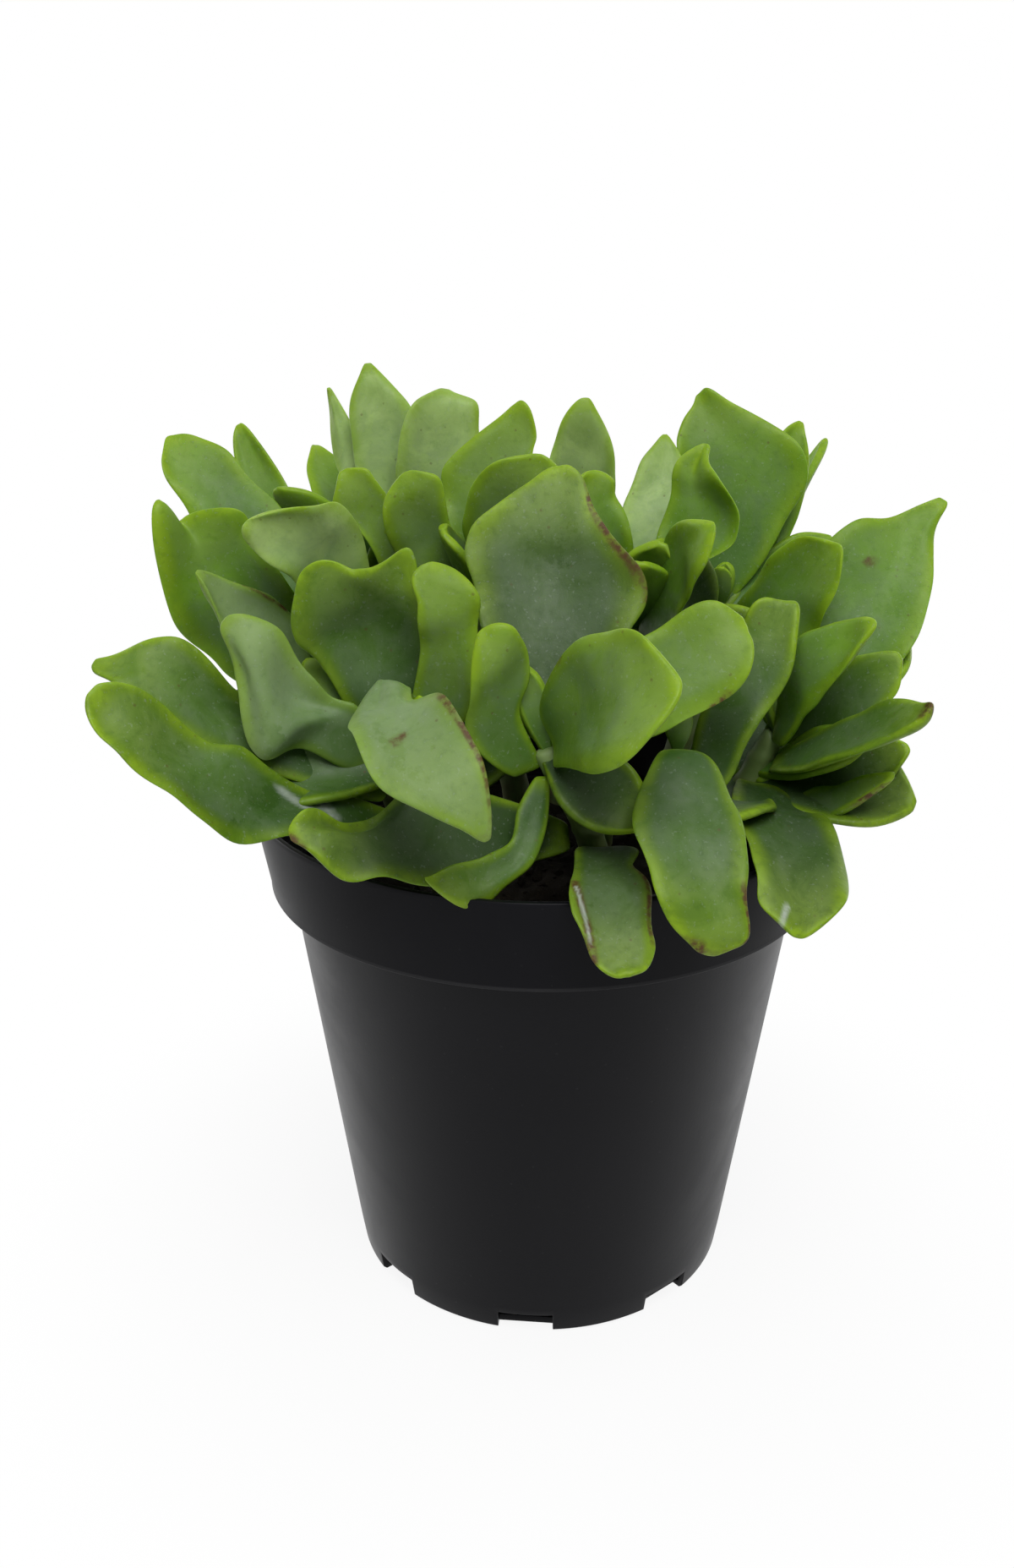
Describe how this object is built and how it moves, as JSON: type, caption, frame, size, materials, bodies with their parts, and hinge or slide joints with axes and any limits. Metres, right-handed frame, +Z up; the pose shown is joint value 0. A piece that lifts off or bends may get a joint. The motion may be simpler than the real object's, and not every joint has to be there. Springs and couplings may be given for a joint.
{
  "type": "potted succulent plant",
  "caption": "Low branching succulent with broad, wavy, fleshy leaves in a round black nursery pot with a rim band and drainage notches, standing on its flat base",
  "frame": {"origin": "Centre of the pot's flat underside, on the pot's axis", "axes": "+Z up along the pot's axis, -Y towards the front of the plant, +X to the right seen from the front"},
  "size_m": [0.1606, 0.1528, 0.1886],
  "materials": {
    "pot": "satin black moulded plastic",
    "soil": "dark crumbly peat",
    "stem": "matt green skin",
    "leaf": "waxy green with a pale bloom"
  },
  "bodies": {
    "root": {"pot": "pot", "soil": "soil", "stem_front": "stem", "stem_left_front": "stem", "stem_left": "stem", "stem_back_left": "stem", "stem_centre": "stem", "stem_centre_right": "stem", "stem_right_back": "stem", "stem_right": "stem", "stem_right_front": "stem", "stem_back": "stem", "leaf_left_1": "leaf", "leaf_left_2": "leaf", "leaf_left_3": "leaf", "leaf_left_4": "leaf", "leaf_left_5": "leaf", "leaf_back_left_1": "leaf", "leaf_back_left_2": "leaf", "leaf_back_left_3": "leaf", "leaf_back_left_4": "leaf", "leaf_back_left_5": "leaf", "leaf_centre_1": "leaf", "leaf_centre_2": "leaf", "leaf_centre_3": "leaf", "leaf_centre_4": "leaf", "leaf_centre_right_1": "leaf", "leaf_centre_right_2": "leaf", "leaf_centre_right_3": "leaf", "leaf_centre_right_4": "leaf", "leaf_back_1": "leaf", "leaf_back_2": "leaf", "leaf_back_3": "leaf", "leaf_back_4": "leaf", "leaf_right_back_1": "leaf", "leaf_right_back_2": "leaf", "leaf_right_back_3": "leaf", "leaf_right_back_4": "leaf", "leaf_right_1": "leaf", "leaf_right_2": "leaf", "leaf_right_3": "leaf", "leaf_right_4": "leaf", "leaf_right_5": "leaf", "leaf_right_6": "leaf", "leaf_right_7": "leaf", "leaf_right_front_1": "leaf", "leaf_right_front_2": "leaf", "leaf_front_1": "leaf", "leaf_front_2": "leaf", "leaf_front_3": "leaf", "leaf_front_4": "leaf", "leaf_front_5": "leaf", "leaf_front_6": "leaf", "leaf_front_7": "leaf", "leaf_left_front_1": "leaf", "leaf_left_front_2": "leaf", "leaf_left_front_3": "leaf", "leaf_left_front_4": "leaf", "leaf_left_front_5": "leaf", "leaf_left_front_6": "leaf"}
  },
  "joints": []
}
